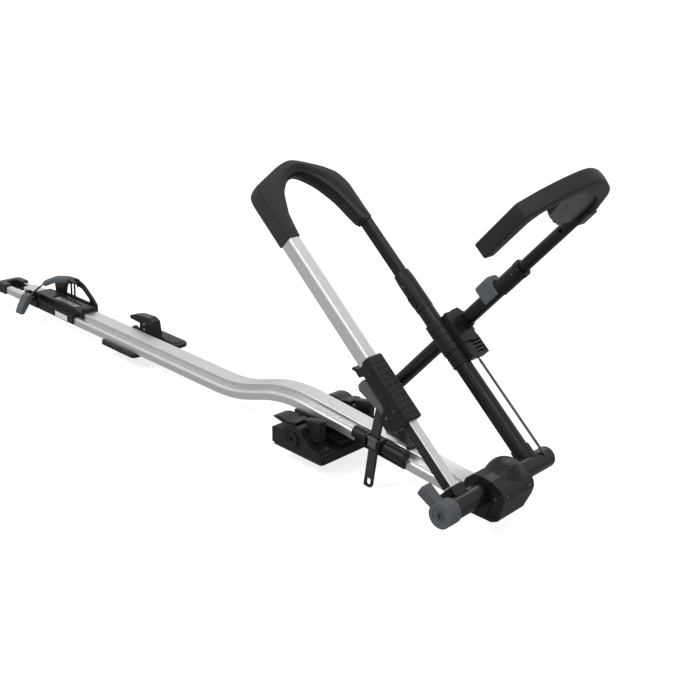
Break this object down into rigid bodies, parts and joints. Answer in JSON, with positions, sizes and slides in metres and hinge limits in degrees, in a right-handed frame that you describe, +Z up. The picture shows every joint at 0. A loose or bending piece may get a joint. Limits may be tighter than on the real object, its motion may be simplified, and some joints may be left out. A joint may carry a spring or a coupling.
{
  "type": "roof mounted bike carrier",
  "caption": "Upright roof carrier for a bicycle: a bent rail on two crossbar feet, a fold-up padded hoop and a telescopic hook over the front wheel, and a sliding tray with a strap.",
  "frame": {"origin": "centre of the front foot's underside, where it rests on the front crossbar", "axes": "+X along the rail towards the head and the hoop's cross tube, +Y across the vehicle away from the end knob, +Z up"},
  "size_m": [1.6465, 0.3152, 0.6437],
  "materials": {
    "bare_aluminium": "satin",
    "black_tube": "satin powder coat",
    "black_bar": "black anodised",
    "black_plastic": "fine texture",
    "slate_plastic": "fine texture",
    "strap_plastic": "ribbed",
    "pad_rubber": "matt skin",
    "liner_rubber": "ribbed",
    "foot_rubber": "matt",
    "plain_steel": "satin",
    "white_plate": "plain, bare"
  },
  "bodies": {
    "carrier": {"rail": "bare_aluminium", "rail_front": "bare_aluminium", "rail_tail_near": "bare_aluminium", "rail_tail_far": "bare_aluminium", "tail_cap": "black_plastic", "head_lower": "black_plastic", "head_upper": "black_plastic", "head_screws": "plain_steel", "wheel_stop": "black_plastic", "front_foot_base": "black_plastic", "front_foot_pad": "foot_rubber", "front_rail_bracket": "black_plastic", "clamp_axle": "black_plastic", "strap_bracket": "black_plastic", "front_strap": "strap_plastic"},
    "near_clamp": {"front_lever_near": "black_plastic"},
    "far_clamp": {"front_lever_far": "black_plastic"},
    "front_tab": {"strap_tab": "slate_plastic"},
    "rear_foot": {"rear_foot_base": "black_plastic", "rear_foot_rubber": "foot_rubber"},
    "rear_clamp": {"rear_foot_lever": "black_plastic", "rear_lever_screws": "plain_steel"},
    "wheel_tray": {"tray_body": "black_plastic", "label_plate": "white_plate", "rear_buckle": "black_plastic", "rear_strap": "strap_plastic", "rim_pad": "slate_plastic"},
    "tray_lever": {"rear_buckle_lever": "slate_plastic"},
    "hoop_base": {"cross_tube": "black_tube", "tube_cap": "black_plastic", "leg_foot": "black_plastic", "inner_leg": "bare_aluminium", "leg_rack": "black_plastic", "far_leg_socket": "black_plastic", "far_leg": "black_tube", "leg_sleeve": "black_plastic", "sleeve_screw": "plain_steel", "arm_collar": "black_plastic", "lock_housing": "black_plastic", "lock_rod": "plain_steel"},
    "leg_button": {"sleeve_button": "black_plastic"},
    "hoop_head": {"outer_leg": "bare_aluminium", "ratchet_housing": "black_plastic", "ratchet_screws": "plain_steel", "hoop_frame": "black_bar", "hoop_cover": "pad_rubber", "hoop_liner": "liner_rubber", "far_bar": "black_bar"},
    "pump_lever": {"ratchet_lever": "slate_plastic"},
    "hoop_release": {"release_tab": "black_plastic"},
    "hook_arm": {"arm_tube": "black_tube", "arm_plug": "black_plastic", "arm_hub": "black_plastic", "arm_sleeve": "black_plastic", "arm_screw": "plain_steel"},
    "hook_release": {"arm_button": "slate_plastic"},
    "hook": {"hook_bar": "black_tube", "hook_core": "black_plastic", "hook_pad": "pad_rubber"},
    "knob": {"end_knob": "slate_plastic"},
    "lock": {"lock_cylinder": "plain_steel"}
  },
  "joints": [
    {"name": "hoop_fold", "type": "hinge", "parent": "carrier", "child": "hoop_base", "pos_m": [0.383, 0, 0.06], "axis": [0, 1, 0], "range_deg": [-36, 20]},
    {"name": "hoop_reach", "type": "slide", "parent": "hoop_base", "child": "hoop_head", "axis": [-0.766, 0, 0.6428], "range_m": [-0.1, 0.06]},
    {"name": "ratchet_pump", "type": "hinge", "parent": "hoop_head", "child": "pump_lever", "pos_m": [0.22766, -0.0995, 0.16424], "axis": [0, 1, 0], "range_deg": [-35, 0]},
    {"name": "ratchet_release", "type": "hinge", "parent": "hoop_head", "child": "hoop_release", "pos_m": [0.16038, -0.0995, 0.22252], "axis": [0, 1, 0], "range_deg": [-20, 0]},
    {"name": "leg_button_press", "type": "slide", "parent": "hoop_base", "child": "leg_button", "axis": [0, 1, 0], "range_m": [0, 0.0015]},
    {"name": "arm_fold", "type": "hinge", "parent": "hoop_base", "child": "hook_arm", "pos_m": [0.16621, 0.141, 0.24191], "axis": [0, 1, 0], "range_deg": [-78, 0]},
    {"name": "hook_release_press", "type": "slide", "parent": "hook_arm", "child": "hook_release", "axis": [0.766, 0, -0.6428], "range_m": [0, 0.003]},
    {"name": "hook_reach", "type": "slide", "parent": "hook_arm", "child": "hook", "axis": [0.6428, 0, 0.766], "range_m": [-0.13, 0.08]},
    {"name": "knob_turn", "type": "hinge", "parent": "hoop_base", "child": "knob", "pos_m": [0.383, -0.143, 0.06], "axis": [0, 1, 0], "range_deg": [-60, 30]},
    {"name": "lock_turn", "type": "hinge", "parent": "knob", "child": "lock", "pos_m": [0.383, -0.15, 0.06], "axis": [0, 1, 0], "range_deg": [0, 90]},
    {"name": "near_clamp_turn", "type": "hinge", "parent": "carrier", "child": "near_clamp", "pos_m": [-0.011, -0.0744, 0.028], "axis": [0, 1, 0], "range_deg": [0, 35]},
    {"name": "far_clamp_turn", "type": "hinge", "parent": "carrier", "child": "far_clamp", "pos_m": [-0.011, 0.0744, 0.028], "axis": [0, 1, 0], "range_deg": [0, 35]},
    {"name": "front_tab_turn", "type": "hinge", "parent": "carrier", "child": "front_tab", "pos_m": [0.1469, -0.05, 0.07346], "axis": [0.9965, 0, -0.0837], "range_deg": [-60, 0]},
    {"name": "rear_foot_slide", "type": "slide", "parent": "carrier", "child": "rear_foot", "axis": [1, 0, 0], "range_m": [-0.02, 0.25]},
    {"name": "rear_clamp_turn", "type": "hinge", "parent": "rear_foot", "child": "rear_clamp", "pos_m": [-0.6375, 0.05, 0.021], "axis": [1, 0, 0], "range_deg": [-60, 0]},
    {"name": "tray_slide", "type": "slide", "parent": "carrier", "child": "wheel_tray", "axis": [1, 0, 0], "range_m": [-0.02, 0.06]},
    {"name": "tray_lever_turn", "type": "hinge", "parent": "wheel_tray", "child": "tray_lever", "pos_m": [-0.984, -0.0473, 0.044], "axis": [1, 0, 0], "range_deg": [-90, 0]}
  ]
}
